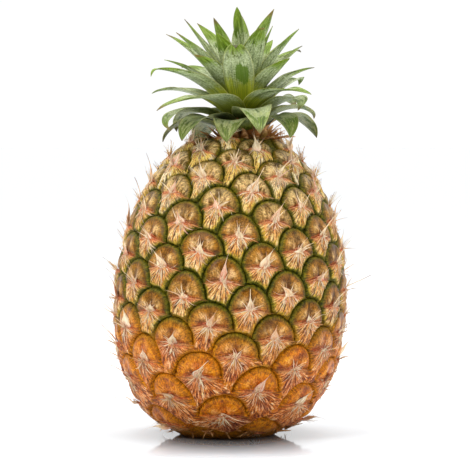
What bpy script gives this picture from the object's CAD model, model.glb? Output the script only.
"""A whole ripe pineapple standing on a pale floor in soft studio light.

Lengths are in millimetres until a mesh is made, +Z is up and the front faces -Y.
The skin, the spiral of eyes and the crown follow the same named values as the solids.
"""

import math

import bmesh
import bpy
import numpy as np
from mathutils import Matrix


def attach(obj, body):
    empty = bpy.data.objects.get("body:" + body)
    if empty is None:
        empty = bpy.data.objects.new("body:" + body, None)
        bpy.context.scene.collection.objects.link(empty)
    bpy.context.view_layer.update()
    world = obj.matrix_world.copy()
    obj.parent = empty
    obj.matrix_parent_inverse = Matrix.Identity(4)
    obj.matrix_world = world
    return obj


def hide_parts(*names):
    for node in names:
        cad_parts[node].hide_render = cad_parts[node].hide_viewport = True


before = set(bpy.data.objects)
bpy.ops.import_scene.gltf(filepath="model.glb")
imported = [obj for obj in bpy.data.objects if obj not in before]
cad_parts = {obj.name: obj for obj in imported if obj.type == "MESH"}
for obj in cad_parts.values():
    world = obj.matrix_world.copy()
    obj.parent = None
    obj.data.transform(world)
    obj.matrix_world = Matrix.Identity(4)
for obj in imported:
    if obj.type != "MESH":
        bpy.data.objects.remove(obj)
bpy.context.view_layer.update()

MM = 0.001

# ---------- measures shared with the solids ----------

BODY_RADIUS = 65
WIDEST_HEIGHT = 79
# Reach and power of the body's two halves.
UPPER_HALF = (97.5, 1.9)
LOWER_HALF = (85, 2.6)
FRUIT_TOP = 170
BEND = (8, 5)
BEND_HEIGHT = 165

DIVERGENCE = math.radians(137.44)
FRONT_EYE = 116
FRONT_EYE_AZIMUTH = math.radians(-4.2)
# Square millimetres that an eye takes at the widest, and how that changes with height.
EYE_AREA = 468
EYE_AREA_SHIFT = (-0.11, 0.55, -1.03)
CAP_EYES = 21
GROOVE_HEIGHT = -1.8
EYE_HEIGHT = 1.3
RIM_WIDTH = 3.4
# The relief fades in between two heights, and down to a share between two others.
BASE_FADE = (-3, 14)
TOP_FADE = (148, 172, 0.5)

# Domes: radius and lift over the eye's middle, and the lower eyes that can stand before one.
DOME_RADIUS = 12.7
DOME_LIFT = 0.06
LOWER_STEPS = (3, 5, 8, 13, 18, 21, 26, 34)

# Heights: no dry growth on the eyes below the first, more strands on them above the second
# and shorter points above the third.
BARE_HEIGHT = 6
SHAGGY_HEIGHT = 138
SHORT_TIP_HEIGHT = 150

LEAF_COUNT = 44
FRONT_LEAF = 22
LEAF_DIVERGENCE = 137.508
FRONT_LEAF_AZIMUTH = -3
CROWN_PLACE = (9.5, 5.5)
CROWN_TILT = math.radians(-3)
CROWN_BASE = 174
CROWN_RISE = 24
CROWN_RISE_POWER = 0.85
CROWN_RADIUS = (13, 2.5)
BASE_LEAN = (2, 60)
TIP_LEAN = (2, 160)
LEAF_LENGTH = (46, 56, 48)
LENGTH_PEAK = 0.45
LEAF_WIDTH = (24, 16)
LEAF_THICKNESS = 0.7
LEAF_CHANNEL = 0.22
LEAF_CLASP = 0.66

# Degrees of extra lean, degrees swept sideways at the tip, millimetres of extra length.
LEAF_HABITS = {
    1: (-1, -1, -3), 2: (2, 0, 0), 3: (3, -9, -6), 4: (7, -10, -5), 6: (10, 4, 0),
    7: (0, 18, -12), 8: (7, -7, 0), 9: (14, -2, 12), 11: (14, 26, -1), 12: (8, -28, -3),
    14: (10, -27, 4), 15: (-4, 26, -2), 16: (3, -5, -2), 17: (14, 10, 0), 19: (0, -6, 4),
    20: (-2, -11, -12), 22: (0, 1, 12), 23: (-2, 0, 1), 24: (-1, 0, -7), 25: (3, -5, -12),
    27: (4, -4, -8), 28: (3, 9, -7), 29: (2, 9, 5), 30: (3, 2, 4), 31: (7, -6, -4),
    32: (5, -4, 0), 33: (8, 3, -2), 34: (4, 17, 3), 35: (8, -10, -6), 36: (13, -18, -11),
    37: (9, 3, 3), 38: (7, 14, 3), 39: (4, 0, 0), 40: (6, 0, -3), 41: (14, 1, -8),
    42: (10, 14, -8), 43: (3, -6, 0),
}


# ---------- small sums ----------

def draw(item, use):
    """A fixed draw from 0 to 1: the fraction of 43758.5453 sin(12.9898 item + 78.233 use)."""
    value = np.sin(np.asarray(item, float) * 12.9898 + use * 78.233) * 43758.5453
    return value - np.floor(value)


def spread(item, use):
    """A fixed draw from -1 to 1."""
    return 2 * draw(item, use) - 1


def smoothstep(value, low, high):
    """0 below low, 1 above high, and 3t^2 - 2t^3 between them."""
    t = np.clip((value - low) / (high - low), 0, 1)
    return t * t * (3 - 2 * t)


def bump(value, middle, width):
    """A bell of height 1: exp(-((value - middle) / width)^2)."""
    return np.exp(-(((value - middle) / width) ** 2))


def unit(vectors):
    """Each vector divided by its own length."""
    return vectors / np.maximum(np.linalg.norm(vectors, axis=-1, keepdims=True), 1e-12)


def stack(x, y, z):
    """Points from three arrays of coordinates."""
    return np.stack(np.broadcast_arrays(x, y, z), axis=-1).astype(float)


def draws(item, *uses):
    """Three fixed draws for each item, as a vector."""
    return stack(*(draw(item, use) for use in uses))


def full_turn(count):
    """The angles of even steps round a circle."""
    return 2 * math.pi * np.arange(count) / count


# ---------- the skin ----------

def half_at(dz):
    """Reach and power of the superellipse half that holds this height over the widest."""
    return [np.where(dz > 0, *pair) for pair in zip(UPPER_HALF, LOWER_HALF)]


def onto_skin(points):
    """Each point slides along its ray from the body's middle until
    (r / R)^2 + |dz / reach|^power = 1, found by halving an interval."""
    r = np.hypot(points[..., 0], points[..., 1])
    dz = points[..., 2] - WIDEST_HEIGHT
    reach, power = half_at(dz)
    low, high = np.full(r.shape, 0.2), np.full(r.shape, 6.0)
    for _ in range(44):
        scale = (low + high) / 2
        inside = (scale * r / BODY_RADIUS) ** 2 + (scale * np.abs(dz) / reach) ** power < 1
        low, high = np.where(inside, scale, low), np.where(inside, high, scale)
    return stack(points[..., 0] * low, points[..., 1] * low, WIDEST_HEIGHT + dz * low)


def skin_normal(points):
    """The gradient of the skin's implicit form, at unit length."""
    dz = points[..., 2] - WIDEST_HEIGHT
    reach, power = half_at(dz)
    slope = np.sign(dz) * power * np.abs(dz / reach) ** (power - 1) / reach
    return unit(stack(2 * points[..., 0] / BODY_RADIUS ** 2,
                      2 * points[..., 1] / BODY_RADIUS ** 2, slope))


def bend(points):
    """Each level slides by BEND (z / BEND_HEIGHT)^2 and tilts square to that curve."""
    level = np.maximum(points[..., 2], 0) / BEND_HEIGHT
    tilt_x, tilt_y = 2 * BEND[0] * level / BEND_HEIGHT, 2 * BEND[1] * level / BEND_HEIGHT
    return stack(points[..., 0] + BEND[0] * level ** 2, points[..., 1] + BEND[1] * level ** 2,
                 points[..., 2] - points[..., 0] * tilt_x - points[..., 1] * tilt_y)


def relief_share(z):
    """The share of the relief left at a height: none at the base, part of it at the top."""
    low, high, share = TOP_FADE
    return smoothstep(z, *BASE_FADE) * (1 - (1 - share) * smoothstep(z, low, high))


def raised(points, height, fade=True):
    """The bent place of a point at a height over the mean skin."""
    on_skin = onto_skin(points)
    if fade:
        height = height * relief_share(on_skin[..., 2])
    return bend(on_skin + skin_normal(on_skin) * np.asarray(height)[..., None])


# ---------- the spiral of eyes ----------

def area_share(z):
    """The area that an eye takes at a height, over what it takes at the widest: e to the power
    c1 u + c2 u^2 + c3 u^3, where EYE_AREA_SHIFT holds each c and u is the way up from the
    widest in tenths of a metre."""
    u = (z - WIDEST_HEIGHT) / 100
    return np.exp(sum(c * u ** (n + 1) for n, c in enumerate(EYE_AREA_SHIFT)))


def eye_levels():
    """Radius and height where the area under a level, divided by the area that an eye
    takes there, reaches each whole number."""
    z = np.linspace(0, FRUIT_TOP, 4001)
    dz = z - WIDEST_HEIGHT
    reach, power = half_at(dz)
    r = BODY_RADIUS * np.sqrt(1 - np.abs(dz / reach) ** power)
    arc = np.hypot(np.diff(z), np.diff(r))
    area = EYE_AREA * area_share(z[1:])
    count = np.concatenate([[0], np.cumsum(arc * 2 * math.pi * r[1:] / area)])
    steps = np.searchsorted(count, np.arange(math.floor(count[-1]) + 1))
    return r[steps], z[steps]


LEVEL_R, LEVEL_Z = eye_levels()
EYE_COUNT = len(LEVEL_R)
EYES = np.arange(EYE_COUNT)


def eye_middle(eye):
    """The middle of an eye on the straight skin: golden-angle azimuth, level by its number,
    closing over each cap on CAP_EYES small places."""
    azimuth = FRONT_EYE_AZIMUTH + DIVERGENCE * (eye - FRONT_EYE)
    held = np.clip(eye, 0, EYE_COUNT - 1)
    r, z = LEVEL_R[held].copy(), LEVEL_Z[held].copy()
    below, above = eye < 0, eye >= EYE_COUNT
    closing = np.where(below, 1 + eye / CAP_EYES, 1 - (eye - EYE_COUNT + 1) / CAP_EYES)
    r = np.where(below | above, r * np.sqrt(np.maximum(closing, 0)), r)
    z = z - below + above
    return onto_skin(stack(r * np.sin(azimuth), -r * np.cos(azimuth), z))


def tangents(points):
    """Unit directions across (level, to the right) and up along the skin at its points."""
    out = skin_normal(points)
    across = unit(stack(-points[..., 1], points[..., 0], 0 * out[..., 2]))
    return across, np.cross(out, across)


# Each eye shows a round dome in front of the eyes above it. The spiral goes on past both
# ends of the body, so that the first and last eyes find their neighbours too. A dome is
# smaller where an eye takes less area.
CAP = max(LOWER_STEPS)
ALL_MIDDLE = eye_middle(np.arange(-CAP, EYE_COUNT + CAP))
ALL_ACROSS, ALL_UP = tangents(ALL_MIDDLE)
ALL_SHARE = area_share(ALL_MIDDLE[:, 2])
ALL_SIZE = DOME_RADIUS * np.minimum(ALL_SHARE, 1) ** 0.5 * np.maximum(ALL_SHARE, 1) ** 0.06
OWN = slice(CAP, CAP + EYE_COUNT)
EYE_MIDDLE, EYE_ACROSS, EYE_UP, EYE_SIZE = (
    each[OWN] for each in (ALL_MIDDLE, ALL_ACROSS, ALL_UP, ALL_SIZE))


def dome_gap(points, number):
    """Millimetres from each point to a dome's rim, negative inside it; `number` counts from
    the first place of the whole spiral. A dome's centre lies a little above its eye's middle.
    The rim goes round at a radius of size (1 + 0.04 s^4 + 0.03 sin(2a + p) + 0.025 sin(3a + q)),
    where s is the sine of the direction a above level, at least 0, and p and q are the dome's
    own."""
    lead = (slice(None),) + (None,) * (points.ndim - 2)
    middle, across, up, size = (
        each[number][lead] for each in (ALL_MIDDLE, ALL_ACROSS, ALL_UP, ALL_SIZE))
    away = points - (middle + up * (DOME_LIFT * size)[..., None])
    angle = np.arctan2(np.sum(away * up, -1), np.sum(away * across, -1))
    rim = (1 + 0.04 * np.maximum(np.sin(angle), 0) ** 4
           + 0.03 * np.sin(2 * angle + 6 * draw(number[lead], 81))
           + 0.025 * np.sin(3 * angle + 6 * draw(number[lead], 82)))
    return np.linalg.norm(away, axis=-1) - size * rim


def lower_edge(points):
    """Millimetres from each eye's points to the nearest lower dome, negative under it."""
    near = np.full(points.shape[:-1], 99.0)
    for step in LOWER_STEPS:
        near = np.minimum(near, dome_gap(points, np.clip(EYES + CAP - step, 0, None)))
    return near


def own_edge(points):
    """Millimetres from each eye's points out to the rim of its own dome."""
    return -dome_gap(points, EYES + CAP)


def on_eye(x, y):
    """The skin point x across and y up, in millimetres, from each eye's middle."""
    lead = (slice(None),) + (None,) * (np.ndim(x) - 1)
    return onto_skin(EYE_MIDDLE[lead] + EYE_ACROSS[lead] * x[..., None]
                     + EYE_UP[lead] * y[..., None])


def eye_reach(angle):
    """How far an eye goes in each direction, (eye, direction): up to its own dome's rim, or
    to the first lower dome, which downwards may lie beyond that rim. Found by steps of
    0.7 mm and then by halving."""
    angle = np.broadcast_to(angle, (EYE_COUNT, len(angle)))
    over = 0.9 * smoothstep(-np.sin(angle), 0.05, 0.5)

    def outside(r):
        points = on_eye(r * np.cos(angle), r * np.sin(angle))
        own = own_edge(points) + over * EYE_SIZE[:, None]
        return (lower_edge(points) < 0) | (own < 0)

    start = np.full(angle.shape, 1.5)
    found = np.zeros(angle.shape, bool)
    for _ in range(34):
        found = found | outside(start + 0.7)
        start = np.where(found, start, start + 0.7)
    low, high = start, start + 0.7
    for _ in range(12):
        middle = (low + high) / 2
        out = outside(middle)
        low, high = np.where(out, low, middle), np.where(out, middle, high)
    return low


# ---------- meshes ----------

def mesh_of(name, points, faces, **vectors):
    """A mesh from points in millimetres and faces of equal size. Each named array, which gives
    a vector for each point, is kept on the faces' corners as an attribute of that name."""
    mesh = bpy.data.meshes.new(name)
    faces = np.asarray(faces, np.int32)
    corners = faces.ravel()
    mesh.vertices.add(points.size // 3)
    mesh.vertices.foreach_set("co", (points * MM).astype(np.float32).ravel())
    mesh.loops.add(faces.size)
    mesh.loops.foreach_set("vertex_index", corners)
    mesh.polygons.add(len(faces))
    starts = np.arange(0, faces.size, faces.shape[1], dtype=np.int32)
    mesh.polygons.foreach_set("loop_start", starts)
    mesh.update(calc_edges=True)
    for key, values in vectors.items():
        held = mesh.attributes.new(key, "FLOAT_VECTOR", "CORNER")
        values = np.broadcast_to(values, points.shape).reshape(-1, 3)[corners]
        held.data.foreach_set("vector", values.astype(np.float32).ravel())
    mesh.polygons.foreach_set("use_smooth", np.ones(len(faces), bool))
    return mesh


def piece_of(mesh, finish, slot, *nodes):
    """An object for a mesh, riding on the part, in place of the solids that it details."""
    piece = bpy.data.objects.new(mesh.name, mesh)
    bpy.context.scene.collection.objects.link(piece)
    mesh.materials.append(finish)
    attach(piece, "root")
    if nodes:
        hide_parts(*nodes)
    return piece


def tube_faces(rows, columns, copies=1):
    """Quads between neighbouring rows of a grid whose rows close on themselves, for each of
    several such grids whose points follow one another."""
    row, column = np.meshgrid(np.arange(rows - 1), np.arange(columns), indexing="ij")
    after = (column + 1) % columns
    quads = np.stack([row * columns + column, row * columns + after,
                      (row + 1) * columns + after, (row + 1) * columns + column], axis=-1)
    first = rows * columns * np.arange(copies)[:, None, None]
    return (quads.reshape(-1, 4) + first).reshape(-1, 4)


def welded(mesh, close=False):
    """Merges points that share a place and, if asked, closes the open rims."""
    work = bmesh.new()
    work.from_mesh(mesh)
    bmesh.ops.remove_doubles(work, verts=work.verts, dist=1e-7)
    if close:
        rims = [edge for edge in work.edges if edge.is_boundary]
        bmesh.ops.holes_fill(work, edges=rims)
    work.to_mesh(mesh)
    work.free()
    mesh.polygons.foreach_set("use_smooth", np.ones(len(mesh.polygons), bool))
    return mesh


# ---------- the fruit's skin ----------

def margin_height(x, eye):
    """Where the free edge of an eye's bract lies, in dome radii up at x radii across: it
    climbs from both corners to a peak in the middle."""
    peak = 0.16 + 0.07 * spread(eye, 31)
    wave = 0.025 * np.sin(8 * x + 6 * draw(eye, 32)) * (1 - np.minimum(np.abs(x), 1))
    return -0.08 + peak * np.maximum(1 - np.abs(x), 0) ** 1.7 + wave


def skin_relief(x, y, edge, eye):
    """Height of an eye over the mean skin, from its place in dome radii and the distance to
    its edge in rim widths. A steep rim, (1 - (1 - edge)^2.4)^(1/2), carries two lobes above
    the bract's free edge and the swelling bract under it."""
    shell = GROOVE_HEIGHT + (EYE_HEIGHT - GROOVE_HEIGHT - 0.4) * np.sqrt(
        np.maximum(1 - (1 - np.clip(edge, 0, 1)) ** 2.4, 0))
    inside = smoothstep(edge, 0, 0.8)
    above = y - margin_height(x, eye)
    left, right = 0.7 + 0.5 * draw(eye, 11), 0.7 + 0.5 * draw(eye, 12)
    lobes = (left * bump(x, -0.42, 0.30) + right * bump(x, 0.42, 0.30)) * bump(y, 0.42, 0.34)
    valley = -0.45 * bump(x, 0.08 * spread(eye, 13), 0.13) * smoothstep(y, 0.1, 0.3)
    crease = -1.1 * bump(above, 0.05, 0.09) * (1 - 0.5 * np.minimum(np.abs(x), 1))
    bract = (0.55 + 0.35 * bump(x, 0, 0.45)) * smoothstep(-above, -0.01, 0.03)
    rugged = 0.16 * np.sin(9 * x + 4 * spread(eye, 14)) * np.sin(8 * y + 5 * spread(eye, 15))
    return shell + inside * (np.where(above > 0, lobes + valley, 0) + crease + bract + rugged)


def fruit_core():
    """The round body 2 mm under the mean skin, or less where the relief fades, cut flat at the
    base and under the crown: a profile from pole to pole, turned about the axis and bent."""
    rows, columns = 60, 96
    turn, azimuth = np.linspace(0, math.pi, rows)[:, None], full_turn(columns)
    ray = 60 * stack(np.sin(turn) * np.sin(azimuth), -np.sin(turn) * np.cos(azimuth),
                     -np.cos(turn)) + [0, 0, WIDEST_HEIGHT]
    points = raised(ray, GROOVE_HEIGHT - 0.2)
    points[..., 2] = np.clip(points[..., 2], 0, FRUIT_TOP)
    return points.reshape(-1, 3), tube_faces(rows, columns)


def fruit_skin(finish):
    """Every eye is a fan of rings out to its edge, closed below by a skirt and a point in
    the flesh, and all of them stand on one smooth core just under the grooves. The fan's
    directions gather about level left and right as a - 0.4 sin(2a)."""
    even = full_turn(46)
    angle = even - 0.4 * np.sin(2 * even)
    out = eye_reach(angle)[:, None, :] * (1 - (1 - np.linspace(0, 1, 13)) ** 1.4)[None, :, None]
    x, y = out * np.cos(angle), out * np.sin(angle)
    points = on_eye(x, y)
    size, eye = EYE_SIZE[:, None, None], EYES[:, None, None]
    x, y = x / size, y / size
    own = own_edge(points) + smoothstep(-y, 0.02, 0.25) * 9
    away = np.maximum(np.minimum(own, lower_edge(points)), 0)
    height = skin_relief(x, y, away / RIM_WIDTH, eye)
    skirt = raised(points[:, -1:], height[:, -1:] - 3.5, fade=False)
    root = raised(EYE_MIDDLE, -6.0, fade=False)[:, None, None]
    whole = np.concatenate([raised(points, height), skirt, np.broadcast_to(root, skirt.shape)],
                           axis=1)
    whole[..., 2] = np.clip(whole[..., 2], 0.02, FRUIT_TOP + 0.5)
    place = stack(x, y, np.minimum(away / 8, 1))
    place = np.concatenate([place, place[:, -1:], place[:, -1:]], axis=1)
    above = place[..., 1] - margin_height(place[..., 0], eye)
    core, core_faces = fruit_core()

    def and_core(values, on_core):
        return np.concatenate([values.reshape(-1, 3), np.broadcast_to(on_core, core.shape)])

    faces = np.concatenate([tube_faces(whole.shape[1], len(angle), EYE_COUNT)[:, ::-1],
                            core_faces + whole.size // 3])
    mesh = mesh_of("fruit_skin", and_core(whole, core), faces,
                   eye_place=and_core(place, (0, -2, 0)),
                   eye_draw=and_core(stack(draw(eye, 21), draw(eye, 22), above), 0.5))
    return piece_of(welded(mesh), finish, "fruit_skin", "fruit")


# ---------- what stands on the eyes ----------

def eye_frame():
    """At each eye's middle: its place on the bent skin, the way up along the skin, the way
    across to the right, and the way out."""
    root = raised(EYE_MIDDLE, 0)
    out = unit(raised(EYE_MIDDLE, 1, fade=False) - root)
    up = raised(EYE_MIDDLE + [0, 0, 1], 0) - root
    up = unit(up - out * np.sum(up * out, -1, keepdims=True))
    return root, up, np.cross(up, out), out


ROOT, UP, ACROSS, OUT = eye_frame()


def along_skin(eye, turn):
    """The way up along the skin at an eye, turned by degrees towards the right."""
    turn = np.radians(turn)[..., None]
    return UP[eye] * np.cos(turn) + ACROSS[eye] * np.sin(turn)


def off_floor(points):
    """Below a height of 1 mm, z becomes 0.35 + 0.65 e^(z - 1), which stays above the floor."""
    z = points[..., 2]
    eased = np.where(z < 1, 0.35 + 0.65 * np.exp(np.minimum(z, 1) - 1), z)
    return stack(points[..., 0], points[..., 1], eased)


def bract_margins(finish):
    """The free edge of each bract: a thin lip from corner to corner that stands over the
    crease, with a section of five points, and runs out thinner past both corners."""
    x = np.sin(np.linspace(-1, 1, 15) * math.pi / 2)[None, :, None]
    reach = eye_reach(np.array([math.pi + 0.05, -0.05]))[..., None, None] + 1.2
    size, eye = EYE_SIZE[:, None, None], EYES[:, None, None]
    across = np.where(x < 0, reach[:, 0], reach[:, 1]) * x / size
    free = margin_height(across, eye)
    slender = 1 - np.abs(x) ** 3
    down = np.array([0.06, 0.03, 0.0, 0.006, 0.025]) * (0.25 + 0.75 * slender)
    proud = np.array([-0.3, 0.3, 0.7, 0.4, -0.6]) * (0.3 + 0.7 * slender)
    corner = 1.1 * np.abs(x) ** 6 * draw(eye, 33)
    points = on_eye(across * size, (free - down) * size)
    edge = np.clip(lower_edge(points) / RIM_WIDTH, 0, 1)
    shell = skin_relief(0.8 * across, free - 0.12, edge, eye)
    broken = 0.25 * np.sin(5 * x + 6 * draw(eye, 34)) + 0.35 * np.sin(9 * x + 6 * draw(eye, 35))
    points = off_floor(raised(points, shell + proud - 0.4 + broken + corner))
    stations, section = points.shape[1:3]
    mesh = mesh_of("bract_margins", points, tube_faces(stations, section, EYE_COUNT),
                   eye_place=stack(across, down, np.arange(section)),
                   eye_draw=draws(eye, 21, 22, 23))
    return piece_of(welded(mesh, close=True), finish, "fruit_skin")


def blades(name, finish, root, ahead, out, length, width, thick, stations, ring, path, twist=0):
    """Closed tapering blades, one for each root, all given as columns. At each share s of its
    length, path(s) gives how far a blade has gone ahead, sideways and out, in lengths, and
    width(s) and thick(s) its section in millimetres: an ellipse of `ring` points that has
    turned by twist s."""
    s = np.linspace(0, 1, stations)[None, :]
    side = unit(np.cross(ahead, out))
    middle = root
    for way, gone in zip((ahead, side, out), path(s)):
        middle = middle + way * (length * gone)[..., None]
    turn = full_turn(ring)
    along = unit(np.gradient(middle, axis=1))
    wide = unit(side - along * np.sum(along * side, -1, keepdims=True))
    deep = np.cross(along, wide)
    turned = np.broadcast_to(twist * s, middle.shape[:2])[..., None]
    wide, deep = (wide * np.cos(turned) + deep * np.sin(turned),
                  deep * np.cos(turned) - wide * np.sin(turned))
    points = (middle[:, :, None]
              + wide[:, :, None] * (width(s)[..., None] / 2 * np.cos(turn))[..., None]
              + deep[:, :, None] * (thick(s)[..., None] / 2 * np.sin(turn))[..., None])
    mesh = mesh_of(name, off_floor(points), tube_faces(stations, ring, len(root)),
                   blade_place=stack(np.cos(turn), s[..., None], np.sin(turn)),
                   blade_draw=draws(np.arange(len(root))[:, None, None], 41, 42, 43))
    return piece_of(mesh, finish, "bract_tip")


def bract_tips(finish):
    """The papery point of each bract rises from the eye's middle. It runs up along the skin
    and then curls out as s^1.7 and sideways as s^2; it is widest a fifth of the way along
    and draws out to a fine point."""
    eye = EYES[LEVEL_Z > BARE_HEIGHT, None]
    ahead, out = along_skin(eye, 26 * spread(eye, 1)), OUT[eye]
    length = (14 + 3.5 * spread(eye, 2)) * np.where(EYE_MIDDLE[eye, 2] > SHORT_TIP_HEIGHT, 0.8, 1)
    length = length * np.where(draw(eye, 7) < 0.18, 0.6, 1)
    lean = np.radians(36 + 20 * spread(eye, 3))
    curl = 0.85 * spread(eye, 4) ** 3
    half = 3.9 + 1.1 * spread(eye, 5)

    def path(s):
        return (np.cos(lean) * s + 0.1 * s, curl * s ** 2,
                np.sin(lean) * s ** 1.7 - 0.12 * curl * np.sin(6 * s))

    def width(s):
        swell = 0.4 + 0.6 * np.sin(math.pi * np.minimum(s * 2.4, 1) * 0.5)
        return 2 * half * swell * (1 - smoothstep(s, 0.08, 0.9)) ** 1.6 + 0.35 * (1 - s)

    return blades("bract_tips", finish, ROOT[eye] + out * 0.9 - ahead * 1.6, ahead, out, length,
                  width, lambda s: 0.7 - 0.4 * s, 11, 8, path, 1.6 * spread(eye, 6))


def tip_strands(finish):
    """Loose fibres that rise beside the papery point and part from it: nine to an eye, and
    sixteen near the crown."""
    count = np.where(LEVEL_Z > SHAGGY_HEIGHT, 16, np.where(LEVEL_Z > BARE_HEIGHT, 9, 0))
    eye = np.repeat(EYES, count)[:, None]
    item = np.arange(len(eye))[:, None]
    ahead, out = along_skin(eye, 26 * spread(eye, 1) + 44 * spread(item, 71)), OUT[eye]
    root = ROOT[eye] + out - ahead * 1.4 + ACROSS[eye] * (1.3 * spread(item, 72))[..., None]
    lift = np.radians(36 + 26 * spread(item, 74))
    curl = 0.55 * spread(item, 75)

    def path(s):
        return np.cos(lift) * s, curl * s ** 2, np.sin(lift) * s ** 1.4

    return blades("tip_strands", finish, root, ahead, out, 7.0 + 3.8 * spread(item, 73),
                  lambda s: 1 - 0.85 * s, lambda s: 0.5 * (1 - 0.7 * s), 6, 4, path)


def fan_fibres(finish):
    """Fibres lying on each bract, twelve to an eye: they start near the mouth, spread up to
    about 90 degrees to either side of straight down, and swell and taper as sin(pi s^0.6)."""
    count, stations, ring = 12, 6, 4
    item = (EYES[:, None] * count + np.arange(count))[..., None, None]
    eye, size = EYES[:, None, None, None], EYE_SIZE[:, None, None, None]
    s, turn = np.linspace(0, 1, stations)[:, None], full_turn(ring)
    fan = (2 * np.arange(count) + 1)[:, None, None] / count - 1
    angle = np.radians(-90 + 66 * fan + 26 * spread(item, 91)) + 0.5 * spread(item, 94) * s ** 2
    start, end = 0.04 + 0.4 * draw(item, 92) ** 2, 0.34 + 0.5 * draw(item, 93)
    reach = start + (end - start) * s
    half = (0.012 + 0.026 * draw(item, 95) ** 2) * np.sin(math.pi * s ** 0.6) * np.cos(turn)
    x = reach * np.cos(angle) - half * np.sin(angle)
    y = 0.07 + reach * np.sin(angle) + half * np.cos(angle)
    points = on_eye(x * size, y * size)
    edge = np.clip(lower_edge(points) / RIM_WIDTH, 0, 1)
    lift = 0.1 + (0.1 + 1.4 * draw(item, 96) ** 3) * s + 0.16 * np.sin(turn)
    points = off_floor(raised(points, skin_relief(x, y, edge, eye) + lift))
    mesh = mesh_of("fan_fibres", points, tube_faces(stations, ring, EYE_COUNT * count),
                   blade_place=stack(np.cos(turn), s, np.sin(turn)),
                   blade_draw=draws(item, 41, 42, 43))
    return piece_of(mesh, finish, "bract_tip")


def neck_scales(finish):
    """Dry scales in four rings round the foot of the crown, each ring further out, lower
    and leaning further from the stem."""
    item = np.arange(76)[:, None]
    ring = item % 4
    azimuth = 2 * math.pi * (item / 19 + 0.013 * spread(item, 101))
    root = in_crown(11.5 + 3.0 * ring, azimuth, 171.6 - 0.7 * ring - 0.02 * ring ** 2)
    away, up = stack(np.sin(azimuth), -np.cos(azimuth), 0), np.array([0.0, 0.0, 1.0])
    lean = np.radians(14 + 17 * ring + 12 * spread(item, 102))[..., None]
    ahead, out = away * np.sin(lean) + up * np.cos(lean), away * np.cos(lean) - up * np.sin(lean)
    half = 2.3 + 0.6 * spread(item, 104)
    curl = 0.5 * spread(item, 105)
    return blades("neck_scales", finish, root, ahead, out, 8.5 + 3.0 * spread(item, 103),
                  lambda s: 2 * half * (1 - s ** 1.5) ** 0.8 + 0.3, lambda s: 0.7 - 0.4 * s,
                  8, 6, lambda s: (s, curl * s ** 2, 0.25 * s ** 2), curl)


def base_shreds(finish):
    """Dry shreds round the stalk scar: each leaves the skin low down, runs along it
    within 110 degrees of straight down and stands off as s^1.5."""
    item = np.arange(90)[:, None]
    azimuth = 2 * math.pi * (item + 1.5 * spread(item, 111)) / len(item)
    away = stack(np.cos(azimuth), np.sin(azimuth), 0)
    around = stack(-np.sin(azimuth), np.cos(azimuth), 0)
    on_skin = onto_skin(34 * away + stack(0, 0, 8.5 + 5.5 * spread(item, 112)))
    normal = skin_normal(on_skin)
    turn = np.radians(110 * spread(item, 113))[..., None]
    ahead = np.cross(around, normal) * np.cos(turn) + around * np.sin(turn)
    half = 0.65 + 0.5 * spread(item, 115)
    stand = 0.6 + 0.35 * spread(item, 116)
    curl = 0.4 * spread(item, 117)
    return blades("base_shreds", finish, bend(on_skin - 0.3 * normal), ahead, away,
                  5.6 + 3.4 * spread(item, 114), lambda s: 2 * half * (1 - 0.85 * s),
                  lambda s: 0.45 - 0.25 * s, 6, 4,
                  lambda s: (0.85 * s, curl * s ** 2, stand * s ** 1.5))


def wisps(finish):
    """Dried flower threads: four to an eye, curling out of the crease beside the tip."""
    eye = np.repeat(EYES[LEVEL_Z > BARE_HEIGHT], 4)[:, None]
    item = np.arange(len(eye))[:, None]
    out = OUT[eye]
    root = (ROOT[eye] + out * 1.1 + ACROSS[eye] * (1.6 * spread(item, 52))[..., None]
            + UP[eye] * (0.4 * spread(item, 53))[..., None])
    lift = 0.35 + 0.25 * spread(item, 55)
    curl = 0.45 * spread(item, 56)

    def path(s):
        return s * 0.85, curl * np.sin(2.2 * s) * s, lift * np.sin(2.4 * s)

    return blades("dried_wisps", finish, root, along_skin(eye, 100 * spread(item, 51)), out,
                  3.2 + 1.8 * spread(item, 54), lambda s: 0.75 * (1 - 0.8 * s),
                  lambda s: 0.3 * (1 - 0.6 * s), 6, 4, path)


# ---------- the crown ----------

def in_crown(radius, azimuth, height):
    """A place in the crown's tilted frame, from its radius, azimuth and height."""
    x, y, up = radius * np.sin(azimuth), -radius * np.cos(azimuth), height - CROWN_BASE
    cos, sin = math.cos(CROWN_TILT), math.sin(CROWN_TILT)
    return stack(CROWN_PLACE[0] + x * cos + up * sin, CROWN_PLACE[1] + y,
                 CROWN_BASE - x * sin + up * cos)


def mix(start, end, share):
    """A share of the way from start to end."""
    return start + (end - start) * share


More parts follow.
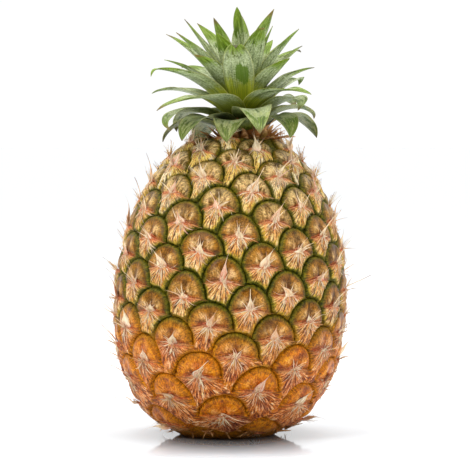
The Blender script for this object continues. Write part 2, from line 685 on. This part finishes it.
def leaf_points(leaf, along, turn):
    """One leaf as (station, section, 3). The midrib leaves the stem at a base lean that
    grows with share^1.35 to the tip's, and some outer tips hook down over their last tenth;
    the blade is a thin closed lens across it, raised towards its edges as across^2, no wider
    than the stem's girth leaves to one leaf."""
    inward = leaf / (LEAF_COUNT - 1)
    lean, side, longer = LEAF_HABITS.get(leaf, (0, 0, 0))
    length = longer + np.interp(inward, [0, LENGTH_PEAK, 1], LEAF_LENGTH)
    azimuth = math.radians(FRONT_LEAF_AZIMUTH + LEAF_DIVERGENCE * (leaf - FRONT_LEAF))
    base = math.radians(mix(*BASE_LEAN, (1 - inward) ** 0.6) + lean)
    tip = math.radians(mix(*TIP_LEAN, 1 - inward) + lean)
    hook = math.radians(120) * max(draw(leaf, 64) - 0.4, 0) * (inward < 0.72)
    steps = 600

    def lean_at(share):
        return mix(base, tip, share ** 1.35) + hook * smoothstep(share, 0.88, 0.98)

    def gone(part):
        each = part(lean_at((np.arange(steps) + 0.5) / steps))
        sums = np.concatenate([[0], np.cumsum(each)]) * length / steps
        return np.interp(along, np.linspace(0, 1, steps + 1), sums)

    radius = mix(*CROWN_RADIUS, inward) + gone(np.sin)
    height = CROWN_BASE + CROWN_RISE * inward ** CROWN_RISE_POWER + gone(np.cos)

    outline = np.where(along < 0.3, 0.8 + 0.2 * np.sin(along / 0.3 * math.pi / 2),
                       np.maximum(1 - (np.maximum(along - 0.3, 0) / 0.7) ** 1.9, 0) ** 0.85)
    free = np.maximum(mix(*LEAF_WIDTH, inward) / 2 * outline, 0.12)
    clasp = LEAF_CLASP * radius
    half = free * clasp / (free ** 4 + clasp ** 4) ** 0.25

    across, face = np.cos(turn)[None, :], np.sin(turn)[None, :]
    edge_wave = 0.25 * np.sin(along * 17 + 5 * draw(leaf, 3)) * np.sin(math.pi * along)
    channel = LEAF_CHANNEL * half * np.minimum(1, 3 * along)
    keel = 0.25 * bump(across, 0, 0.16) * (1 - along[:, None])
    thick = LEAF_THICKNESS * (1 - 0.45 * along)[:, None]
    rise = (channel[:, None] * across ** 2 + face * thick / 2 - keel
            + edge_wave[:, None] * across ** 3)
    azimuths = azimuth + math.radians(side) * along ** 2
    azimuths = azimuths[:, None] + across * (half / radius)[:, None]
    return in_crown(radius[:, None] - rise * np.cos(lean_at(along))[:, None], azimuths,
                    height[:, None] + rise * np.sin(lean_at(along))[:, None])


def crown_leaves(finish):
    """Each leaf is its own closed piece, in place of its solid."""
    along, turn = 1 - (1 - np.linspace(0, 1, 32)) ** 1.3, full_turn(20)
    faces = tube_faces(len(along), len(turn))
    place = stack(np.cos(turn), along[:, None], np.sin(turn))
    for leaf in range(LEAF_COUNT):
        own = draw(leaf, 61), leaf / (LEAF_COUNT - 1), draw(leaf, 62) + (leaf == FRONT_LEAF)
        name = f"crown_leaf_{leaf + 1:02d}"
        mesh = mesh_of("fine_" + name, leaf_points(leaf, along, turn), faces,
                       leaf_place=place, leaf_draw=own)
        piece_of(welded(mesh, close=True), finish, "crown_leaf", name)


def crown_stem(finish):
    """A tapered stem: its radius falls evenly from base to tip, after a flare over the lowest
    fifth, and it rounds over at the tip."""
    share = np.array([0, 0, 0.02, 0.1, 0.3, 0.5, 0.7, 0.85, 0.95, 1, 1])
    wide, narrow = CROWN_RADIUS[0] - 0.9, CROWN_RADIUS[1] - 0.9
    radius = mix(wide, narrow, share) + 4 * np.maximum(1 - share / 0.2, 0) ** 2
    radius[[0, -1]] = 0.01
    height = CROWN_BASE - 4.6 + (CROWN_RISE + 4.6) * share
    height[-1] += 1
    turn = full_turn(36)
    ridge = 0.2 * np.sin(13 * turn) * (radius > 1)[:, None]
    points = in_crown(radius[:, None] + ridge, turn, height[:, None])
    mesh = mesh_of("crown_core", points, tube_faces(len(share), len(turn)))
    return piece_of(welded(mesh), finish, "crown_stem", "crown_stem")


# ---------- finishes ----------

def colour(tint):
    """Three numbers on a screen's scale of 0 to 255, as linear light; a signal as it is."""
    if isinstance(tint, Signal):
        return tint
    value = np.array(tint) / 255
    linear = np.where(value <= 0.04045, value / 12.92, ((value + 0.055) / 1.055) ** 2.4)
    return (*linear.tolist(), 1.0)


def operator(kind, swapped=False):
    """A method that adds one Math node for a signal and whatever other value it takes."""
    def method(self, *other):
        values = (*other, self) if swapped else (self, *other)
        return self.finish.node("ShaderNodeMath", values, operation=kind)
    return method


class Signal:
    """A number or a colour that varies over a surface. Sums on it add Math nodes."""

    def __init__(self, finish, socket):
        self.finish, self.socket = finish, socket

    __add__ = __radd__ = operator("ADD")
    __sub__, __rsub__ = operator("SUBTRACT"), operator("SUBTRACT", swapped=True)
    __mul__ = __rmul__ = operator("MULTIPLY")
    __truediv__, __pow__ = operator("DIVIDE"), operator("POWER")
    __abs__ = operator("ABSOLUTE")

    def over(self, low, high):
        """0 at low and 1 at high, smoothly; low may be the larger one."""
        if low > high:
            return 1 - self.over(high, low)
        return self.finish.node("ShaderNodeMapRange", interpolation_type="SMOOTHSTEP",
                                inputs={"Value": self, "From Min": low, "From Max": high})


class Finish:
    """A material, or a world, in the making: one shader and whatever feeds it."""

    def __init__(self, name, made=bpy.data.materials, shader="Principled BSDF", **constants):
        self.owner = made.new(name)
        self.owner.use_nodes = True
        self.tree = self.owner.node_tree
        self.shader = self.tree.nodes[shader]
        for socket, value in constants.items():
            self.shader.inputs[socket.replace("_", " ")].default_value = value

    def node(self, kind, inputs=(), out=0, **settings):
        """One node of a kind: its settings first, then values or links for its sockets."""
        made = self.tree.nodes.new(kind)
        for key, value in settings.items():
            setattr(made, key, value)
        pairs = inputs.items() if isinstance(inputs, dict) else enumerate(inputs)
        for key, value in pairs:
            if isinstance(value, Signal):
                self.tree.links.new(value.socket, made.inputs[key])
            else:
                made.inputs[key].default_value = value
        return Signal(self, made.outputs[out])

    def parts(self, vector):
        """The three numbers of a vector."""
        split = self.node("ShaderNodeSeparateXYZ", [vector])
        return [Signal(self, socket) for socket in split.socket.node.outputs]

    def stored(self, name):
        """The three numbers of an attribute of the piece."""
        return self.parts(self.node("ShaderNodeAttribute", out="Vector", attribute_name=name))

    def place(self):
        """Object coordinates, in metres."""
        return self.node("ShaderNodeTexCoord", out="Object")

    def noise(self, where, scale, detail=3, roughness=0.5):
        """Noise about 0.5, at a vector or at three numbers."""
        if isinstance(where, tuple):
            where = self.node("ShaderNodeCombineXYZ", where)
        return self.node("ShaderNodeTexNoise", {
            "Vector": where, "Scale": scale, "Detail": detail, "Roughness": roughness})

    def blend(self, share, first, second, how="MIX"):
        """Colour between two, by a share."""
        return self.node("ShaderNodeMix", {0: share, 6: colour(first), 7: colour(second)},
                         out=2, data_type="RGBA", blend_type=how)

    def layers(self, base, *coats):
        """Coats over a base, one after another. Each is a share and then one colour, or two
        colours after the share between them."""
        for share, *tints in coats:
            base = self.blend(share, base, self.blend(*tints) if len(tints) > 1 else tints[0])
        return base

    def ramp(self, share, low, first, high, second):
        """Colour that goes evenly from one at low to another at high."""
        made = self.node("ShaderNodeValToRGB", [share])
        stops = made.socket.node.color_ramp.elements
        for stop, position, tint in zip(stops, (low, high), (first, second)):
            stop.position, stop.color = position, colour(tint)
        return made

    def tilted(self, height, distance, strength=1.0):
        """A normal tilted by a height, which is a share of a distance in millimetres."""
        return self.node("ShaderNodeBump", {
            "Height": height, "Distance": distance * MM, "Strength": strength})

    def fed(self, **signals):
        """The material or world, once signals feed these sockets of its shader."""
        for socket, signal in signals.items():
            self.tree.links.new(signal.socket, self.shader.inputs[socket.replace("_", " ")])
        return self.owner


def skin_finish():
    """Shiny tan lobes with beige middles in a golden olive rim, above the bract's edge. Under
    it cream and orange fibres fan out and turn olive towards dark green grooves. Orange and
    purplish brown near the base, paler towards the top."""
    f = Finish("skin_of_eyes", Roughness=0.4, IOR=1.45, Specular_IOR_Level=0.22)
    across, up, edge = f.stored("eye_place")
    one, two, above = f.stored("eye_draw")
    place = f.place()
    z = f.parts(place)[2]
    patch, blotch = f.noise(place, 22, 3, 0.6), f.noise(place, 80, 3, 0.6)
    mottle, fine = f.noise(place, 210, 4, 0.65), f.noise(place, 700, 3, 0.6)
    height = z / (FRUIT_TOP * MM) + (patch - 0.5) * 0.3 + (one - 0.5) * 0.1
    low, top = height.over(0.46, 0.26), height.over(0.66, 1.0)
    edge = edge + (blotch - 0.5) * 0.3 + (mottle - 0.5) * 0.16 + height.over(0.76, 1.0) * 0.1

    def two_tone(share, first, second, low_first, low_second):
        """Between two colours by a share, and between two others near the base."""
        return f.blend(low, f.blend(share, first, second), f.blend(share, low_first, low_second))

    # The two lobes: brown at the rim, beige with faint streaks in their middles.
    down = 0.14 - up
    angle = f.node("ShaderNodeMath", [across, down], operation="ARCTAN2")
    reach = (across * across + down * down) ** 0.5
    folds = f.noise((across * (2.6 - up * 1.4), up * 0.9, two * 70), 2.4, 4, 0.55)
    grain = folds * 0.85 + f.noise((across * 7, up * 2.4, one * 50), 2.0, 2) * 0.15
    side = abs(across) - 0.42
    heart = (side * side * 8 + (up - 0.38) * (up - 0.38) * 9 + (folds - 0.5) * 3.2
             + (one - 0.5) * 0.4).over(1.1, 0.0)
    between = (abs(across) + (mottle - 0.5) * 0.3).over(0.24, 0.02) * up.over(0.3, 0.6)
    foot = (above + (mottle - 0.5) * 0.3).over(0.34, 0.08)
    lobe = f.layers(
        two_tone((grain * 0.6 + mottle * 0.4).over(0.38, 0.60),
                 (104, 68, 12), (172, 120, 44), (160, 72, 2), (218, 120, 6)),
        (two.over(0.5, 1.0) * 0.5, low, (126, 110, 44), (206, 130, 20)),
        (heart * 0.8, low, (196, 160, 108), (214, 134, 28)),
        (heart * grain.over(0.50, 0.60) * 0.85, low, (230, 204, 158), (236, 168, 66)),
        (grain.over(0.44, 0.36) * 0.55, low, (96, 62, 22), (136, 58, 14)),
        (between * (1 - low * 0.6) * 0.7, low, (92, 66, 26), (120, 54, 40)),
        (foot * blotch.over(0.42, 0.56) * 0.8, low, (108, 56, 26), (140, 62, 30)),
        (blotch.over(0.58, 0.68) * 0.6, low, (96, 62, 34), (108, 48, 40)),
        (height.over(0.62, 0.95) * 0.75, grain.over(0.40, 0.56), (104, 88, 42), (240, 222, 172)),
        (fine.over(0.56, 0.70) * 0.3, (226, 192, 136)))
    outward = (reach + (mottle - 0.5) * 0.4 + (grain - 0.5) * 0.5).over(0.42, 0.95)
    lobe = f.blend((1 - low * 0.6) * (1 - top * 0.5), lobe,
                   f.ramp(outward, 0.0, (230, 214, 168), 1.0, (150, 134, 66)), "MULTIPLY")
    ring = ((edge + (grain - 0.5) * 0.4).over(0.30, 0.46)
            * (edge + (mottle - 0.5) * 0.5).over(0.86, 0.6)
            * height.over(0.85, 0.55) * (0.26 + low * 0.24) * blotch.over(0.66, 0.46))
    core = (abs(abs(across) - 0.3).over(0.34, 0.04) * abs(up - 0.34).over(0.34, 0.05)
            * (grain + (mottle - 0.5) * 0.5).over(0.46, 0.60))
    stain = two.over(0.3, 0.8) * low * f.noise(place, 120, 2).over(0.55, 0.66)
    lobe = f.layers(
        lobe,
        (ring, two_tone(mottle.over(0.35, 0.65),
                        (190, 122, 14), (224, 160, 40), (222, 128, 2), (240, 168, 10))),
        (core * 0.5, low, (246, 214, 162), (246, 184, 108)),
        (stain * 0.7, fine.over(0.4, 0.6), (104, 44, 40), (150, 84, 66)))

    # The bract: fibres that fan out below the mouth.
    streak = f.noise((angle * 2.2, reach * 0.7, one * 40), 2.6, 4, 0.7)
    strand = f.noise((angle * 6, reach * 0.9, two * 40), 2.6, 3, 0.7)
    deep = strand.over(0.51, 0.42) * (reach + (blotch - 0.5)).over(0.0, 0.4)
    verge = (edge + (streak - 0.5) * 0.8 + (fine - 0.5) * 0.1).over(0.36, 0.12)
    flesh = f.layers(
        two_tone((reach + (streak - 0.5) * 0.7).over(0.3, 0.8),
                 (250, 170, 112), (210, 146, 58), (238, 150, 92), (216, 122, 44)),
        (streak.over(0.47, 0.60) * 0.85, low, (238, 206, 148), (226, 160, 104)),
        (two.over(0.2, 0.9) * (reach + strand).over(1.3, 0.7) * 0.6, (236, 178, 60)),
        (blotch.over(0.54, 0.64) * low * 0.6, (140, 66, 48)),
        (deep * 0.85, low, (84, 50, 36), (124, 56, 40)),
        (strand.over(0.55, 0.65) * 0.75, blotch.over(0.4, 0.6), (250, 224, 186), (240, 184, 148)),
        (verge * 0.8, two_tone(mottle.over(0.35, 0.65),
                               (130, 128, 20), (204, 176, 62), (170, 96, 20), (218, 146, 36))),
        (top * streak.over(0.40, 0.50) * 0.95, blotch.over(0.44, 0.54),
         (255, 236, 200), (240, 206, 110)),
        (height.over(0.6, 0.9) * strand.over(0.5, 0.42) * 0.8, (96, 70, 40)))

    # Both meet in a frayed line. Over them lie the rim, its inner halo, the groove, the coral
    # round the mouth and along the bract's edge, the crease and the darker foot of the fruit.
    frayed = above + (streak - 0.5) * (low * 0.7 + 0.25) + across * across * low * 0.25
    uneven = f.noise(place, 130, 3, 0.6).over(0.36, 0.60)
    hem = edge.over(0.45, 0.22) * (0.4 + uneven * 0.6)
    halo = (edge.over(0.30, 0.12) * above.over(-0.1, 0.1)
            + edge.over(0.20, 0.08) * above.over(0.1, -0.1))
    mouth = across * across * 5 + (above - 0.02) * (above - 0.02) * 46 + (mottle - 0.5) * 0.9
    blush = (abs(above + 0.03 + (streak - 0.5) * 0.3).over(0.20, 0.04)
             * abs(across).over(1.0, 0.45) * edge.over(0.1, 0.3))
    crease = abs(above - 0.045).over(0.05, 0.0) * abs(across).over(1.0, 0.5)
    base_foot = (z + (blotch - 0.5) * 8 * MM).over(6 * MM, 1 * MM)
    base = f.layers(
        f.blend(frayed.over(0.03, -0.03), lobe, flesh),
        (hem * above.over(-0.4, 0.1), two_tone(
            mottle.over(0.3, 0.7), (72, 64, 2), (138, 106, 14), (160, 88, 2), (206, 134, 8))),
        (halo * 0.9, two_tone(
            fine.over(0.35, 0.65), (70, 74, 4), (120, 110, 16), (160, 88, 2), (214, 136, 6))),
        (edge.over(0.20, 0.03) * (0.6 + uneven * 0.4), two_tone(
            fine.over(0.35, 0.65), (46, 56, 0), (98, 96, 4), (150, 90, 0), (204, 134, 14))),
        (mouth.over(0.8, 0.1) * 0.8, mottle.over(0.4, 0.6), (206, 110, 84), (236, 176, 142)),
        (blush * 0.6, streak.over(0.44, 0.56), (216, 112, 78), (248, 190, 128)),
        (crease * fine.over(0.3, 0.6) * 0.8, (118, 50, 24)),
        (base_foot * 0.15, strand.over(0.4, 0.6), (84, 46, 22), (156, 96, 52)))
    grit = f.noise(place, 1050, 2, 0.6) * 0.5 + strand * 0.5
    base = f.blend(0.75, base, f.ramp(grit, 0.36, (44, 34, 20), 0.66, (255, 244, 226)), "OVERLAY")
    shine = above.over(0.0, 0.12) * edge.over(0.12, 0.4)
    ribs = (streak + strand * 0.8) * above.over(0.0, -0.06)
    return f.fed(Base_Color=base, Roughness=0.58 - shine * 0.28 + (mottle - 0.5) * 0.25,
                 Normal=f.tilted(ribs + mottle * 0.55 + fine * 0.3, 1.0, 0.9))


def margin_finish():
    """Coral near the mouth, tan and then olive brown towards both corners."""
    f = Finish("bract_margin", Roughness=0.5, IOR=1.42, Specular_IOR_Level=0.3)
    across, down, _ = f.stored("eye_place")
    one, _, _ = f.stored("eye_draw")
    mottle = f.noise(f.place(), 260, 3, 0.6)
    fibre = f.noise((across * 9, down * 8, one * 30), 2.0, 3, 0.6)
    base = f.layers(
        f.blend(fibre.over(0.35, 0.65), (186, 96, 60), (230, 166, 116)),
        ((abs(across) + (fibre - 0.5)).over(0.3, 0.7), (206, 140, 76)),
        ((abs(across) + (mottle - 0.5)).over(0.7, 1.1), (122, 88, 34)),
        (mottle.over(0.56, 0.7) * 0.6, (236, 196, 150)))
    return f.fed(Base_Color=base, Roughness=0.4 + mottle * 0.2, Normal=f.tilted(fibre, 0.4, 0.8))


def tip_finish():
    """Pinkish at the root, then cream with brown and pale fibres, and a browned point."""
    f = Finish("papery_tip", Roughness=0.6, IOR=1.4, Specular_IOR_Level=0.3)
    across, along, _ = f.stored("blade_place")
    one, two, three = f.stored("blade_draw")
    fibre = f.noise((across * 3.5, along * 0.5, one * 50), 2.6, 4, 0.7)
    base = f.layers(
        f.blend(two, (226, 122, 92), (242, 186, 142)),
        ((along + (one - 0.5) * 0.4).over(0.0, 0.35), (250, 220, 172)),
        (three.over(0.5, 0.75) * 0.8, one, (222, 128, 98), (224, 166, 84)),
        (fibre.over(0.46, 0.58) * 0.85, (255, 243, 218)),
        (fibre.over(0.42, 0.34) * 0.6, (186, 112, 72)),
        ((along + two * 0.4).over(0.98, 1.3) * 0.8, (144, 92, 62)))
    return f.fed(Base_Color=base, Normal=f.tilted(fibre, 0.35, 0.9))


def leaf_finish():
    """Olive green under a greyish waxy bloom that is worn off in patches, once low on the
    front leaf, and towards the tip; yellow-green at the base, pale along the edges, browned
    at the point."""
    f = Finish("waxy_leaf", Roughness=0.5, IOR=1.45, Specular_IOR_Level=0.35)
    across, along, _ = f.stored("leaf_place")
    one, inward, three = f.stored("leaf_draw")
    lines = f.noise((across * 14, along * 0.8, one * 60), 1.6, 4, 0.65)
    wear = f.noise((across * 1.7, along * 3.2, one * 90), 2.0, 5, 0.65)
    dots = f.noise((across * 20, along * 26, one * 50), 1.1, 3, 0.7)
    speck = f.noise(f.place(), 900, 3, 0.7)
    cover = wear + abs(along - 0.38).over(0.5, 0.0) * 0.22 + (one - 0.5) * 0.1
    fresh = (along + (wear - 0.5) * 0.6).over(0.70, 0.82) * (0.4 + inward.over(0.15, 0.5) * 0.45)
    base = f.layers(
        f.blend(lines.over(0.35, 0.65), (58, 86, 4), (124, 152, 34)),
        (three.over(0.3, 1.0) * 0.6, (112, 116, 46)),
        (cover.over(0.51, 0.56) * 0.9, speck.over(0.35, 0.65), (146, 158, 110), (212, 218, 186)),
        (dots.over(0.55, 0.68) * 0.5, (76, 86, 38)),
        (lines.over(0.44, 0.34) * 0.4, (84, 94, 46)),
        (fresh, lines, (72, 110, 6), (148, 168, 40)),
        (inward.over(0.4, 0.05) * wear.over(0.4, 0.6) * 0.6, (158, 148, 92)),
        (along.over(0.26, 0.02) * 0.9, (172, 180, 48)))
    grit = lines * 0.4 + dots * 0.25 + wear * 0.35
    base = f.blend(0.85, base, f.ramp(grit, 0.36, (36, 40, 18), 0.64, (236, 238, 226)), "OVERLAY")
    base = f.blend(along.over(0.6, 0.15) * 0.6, base, (150, 160, 90), "MULTIPLY")
    heart = (along + (wear - 0.5) * 0.4).over(0.42, 0.22) * inward.over(0.15, 0.4)
    ragged = (wear - 0.5) * 5 + (lines - 0.5) * 1.5
    worn = ((across - 0.2) ** 2 * 4 + (along - 0.42) ** 2 * 40 + ragged).over(0.9, 0.6)
    base = f.layers(
        base,
        (heart * 0.8, lines.over(0.4, 0.6), (140, 156, 22), (206, 206, 48)),
        (worn * three.over(1.0, 1.1) * 0.9, lines, (58, 92, 10), (118, 144, 48)))
    base = f.blend(inward.over(0.4, 0.1) * 0.35, base, (150, 172, 150), "MULTIPLY")
    dry = (along + (lines - 0.5) * 0.12 + (one - 0.5) * 0.14).over(0.94, 1.02)
    base = f.layers(
        base,
        (abs(across).over(0.90, 1.0) * 0.6, (176, 174, 96)),
        (dry * 0.9, three, (138, 112, 50), (60, 46, 26)))
    return f.fed(Base_Color=base, Roughness=0.42 + speck * 0.2,
                 Normal=f.tilted(lines * 0.7 + speck * 0.3, 0.25, 0.8))


def scale_finish():
    """Dry reddish brown, fibrous, paler towards the point."""
    f = Finish("dry_scale", Roughness=0.7, IOR=1.4, Specular_IOR_Level=0.3)
    across, along, _ = f.stored("blade_place")
    one, two, _ = f.stored("blade_draw")
    fibre = f.noise((across * 5, along * 0.6, one * 50), 2.6, 4, 0.7)
    base = f.layers(
        f.blend(fibre.over(0.35, 0.65), (150, 84, 36), (216, 142, 72)),
        (two.over(0.4, 1.0) * 0.6, (120, 116, 48)),
        ((along + (fibre - 0.5) * 0.6).over(0.3, 0.9) * 0.8, (236, 184, 126)))
    return f.fed(Base_Color=base, Normal=f.tilted(fibre, 0.35, 0.9))


def stem_finish():
    """Dry brown, with fibres drawn out along the stem."""
    f = Finish("fibrous_stem", Roughness=0.75)
    drawn_out = f.node("ShaderNodeVectorMath", [f.place(), (1, 1, 0.25)], operation="MULTIPLY")
    fibre = f.noise(drawn_out, 900, 4, 0.7)
    return f.fed(Base_Color=f.ramp(fibre, 0.3, (92, 50, 26), 0.7, (176, 120, 70)),
                 Normal=f.tilted(fibre, 0.4))


def floor_finish():
    """White and glossy, more satin further out, and greyed where the part rests on it; far
    from the part it shines a little, like a lit table."""
    f = Finish("pale_floor", Roughness=0.2, IOR=1.5, Emission_Strength=0.35)
    x, y, _ = f.parts(f.place())
    away = (x * x + y * y) ** 0.5
    contact = ((x * x * 3 + y * y) ** 0.5).over(0.11, 0.035)
    pale = f.ramp(f.noise(f.place(), 40, 2), 0.0, (228, 234, 240), 1.0, (232, 238, 244))
    shine = f.ramp(away.over(0.08, 0.4), 0.0, (0, 0, 0), 1.0, (255, 255, 255))
    return f.fed(Base_Color=f.blend(contact * 0.75, pale, (40, 42, 38)), Emission_Color=shine,
                 Roughness=0.06 + away.over(0.07, 0.15) * 0.36)


# ---------- the set ----------

def camera():
    """1.62 m from a point in the middle of the part, and 2 degrees above its level."""
    lens = bpy.data.cameras.new("view")
    lens.sensor_width, lens.lens = 36, 215.8
    lens.clip_start, lens.clip_end = 0.1, 100
    holder = bpy.data.objects.new("view", lens)
    away, tilt = 1.62, math.radians(2)
    holder.location = (0.0045, -away * math.cos(tilt), 0.1148 + away * math.sin(tilt))
    holder.rotation_euler = (math.pi / 2 - tilt, 0, 0)
    bpy.context.scene.collection.objects.link(holder)
    bpy.context.scene.camera = holder


def lamp(name, place, aim, size, power):
    """A square soft lamp of a size in metres, turned to face a point."""
    light = bpy.data.lights.new(name, "AREA")
    light.shape, light.size, light.energy = "SQUARE", size, power
    holder = bpy.data.objects.new(name, light)
    holder.location = place
    back = np.array(place, float) - np.array(aim, float)
    flat = math.hypot(back[0], back[1])
    holder.rotation_euler = (math.atan2(flat, back[2]), 0, math.atan2(back[0], -back[1]))
    bpy.context.scene.collection.objects.link(holder)


def surround():
    """The room's light: white behind the part, dimmer at its sides and dimmest in front."""
    f = Finish("surround", bpy.data.worlds, "Background", Color=(1, 1, 1, 1))
    _, y, _ = f.parts(f.node("ShaderNodeTexCoord", out="Generated"))
    strength = f.node("ShaderNodeMapRange", interpolation_type="SMOOTHSTEP", inputs={
        "Value": y, "From Min": -0.3, "From Max": 0.4, "To Min": 0.32, "To Max": 1.02})
    bpy.context.scene.world = f.fed(Strength=strength)


def studio():
    """A pale floor, the surround, and soft lamps to the left, to the right and overhead."""
    half = 40 / MM
    points = half * np.array([[-1, -1, 0], [1, -1, 0], [1, 1, 0], [-1, 1, 0]], float)
    mesh = mesh_of("floor", points, [[0, 1, 2, 3]])
    floor = bpy.data.objects.new("floor", mesh)
    bpy.context.scene.collection.objects.link(floor)
    mesh.materials.append(floor_finish())
    surround()
    lamp("key", (-0.9, -1.1, 1.3), (0, 0, 0.12), 0.5, 17)
    lamp("fill", (1.1, -0.7, 0.7), (0, 0, 0.12), 0.5, 5)
    lamp("overhead", (0, 0.1, 1.7), (0, 0, 0), 1.2, 22)
    bpy.context.scene.view_settings.view_transform = "Standard"


studio()
camera()
fruit_skin(skin_finish())
bract_margins(margin_finish())
papery = tip_finish()
bract_tips(papery)
tip_strands(papery)
fan_fibres(papery)
wisps(papery)
dry = scale_finish()
neck_scales(dry)
base_shreds(dry)
crown_leaves(leaf_finish())
crown_stem(stem_finish())
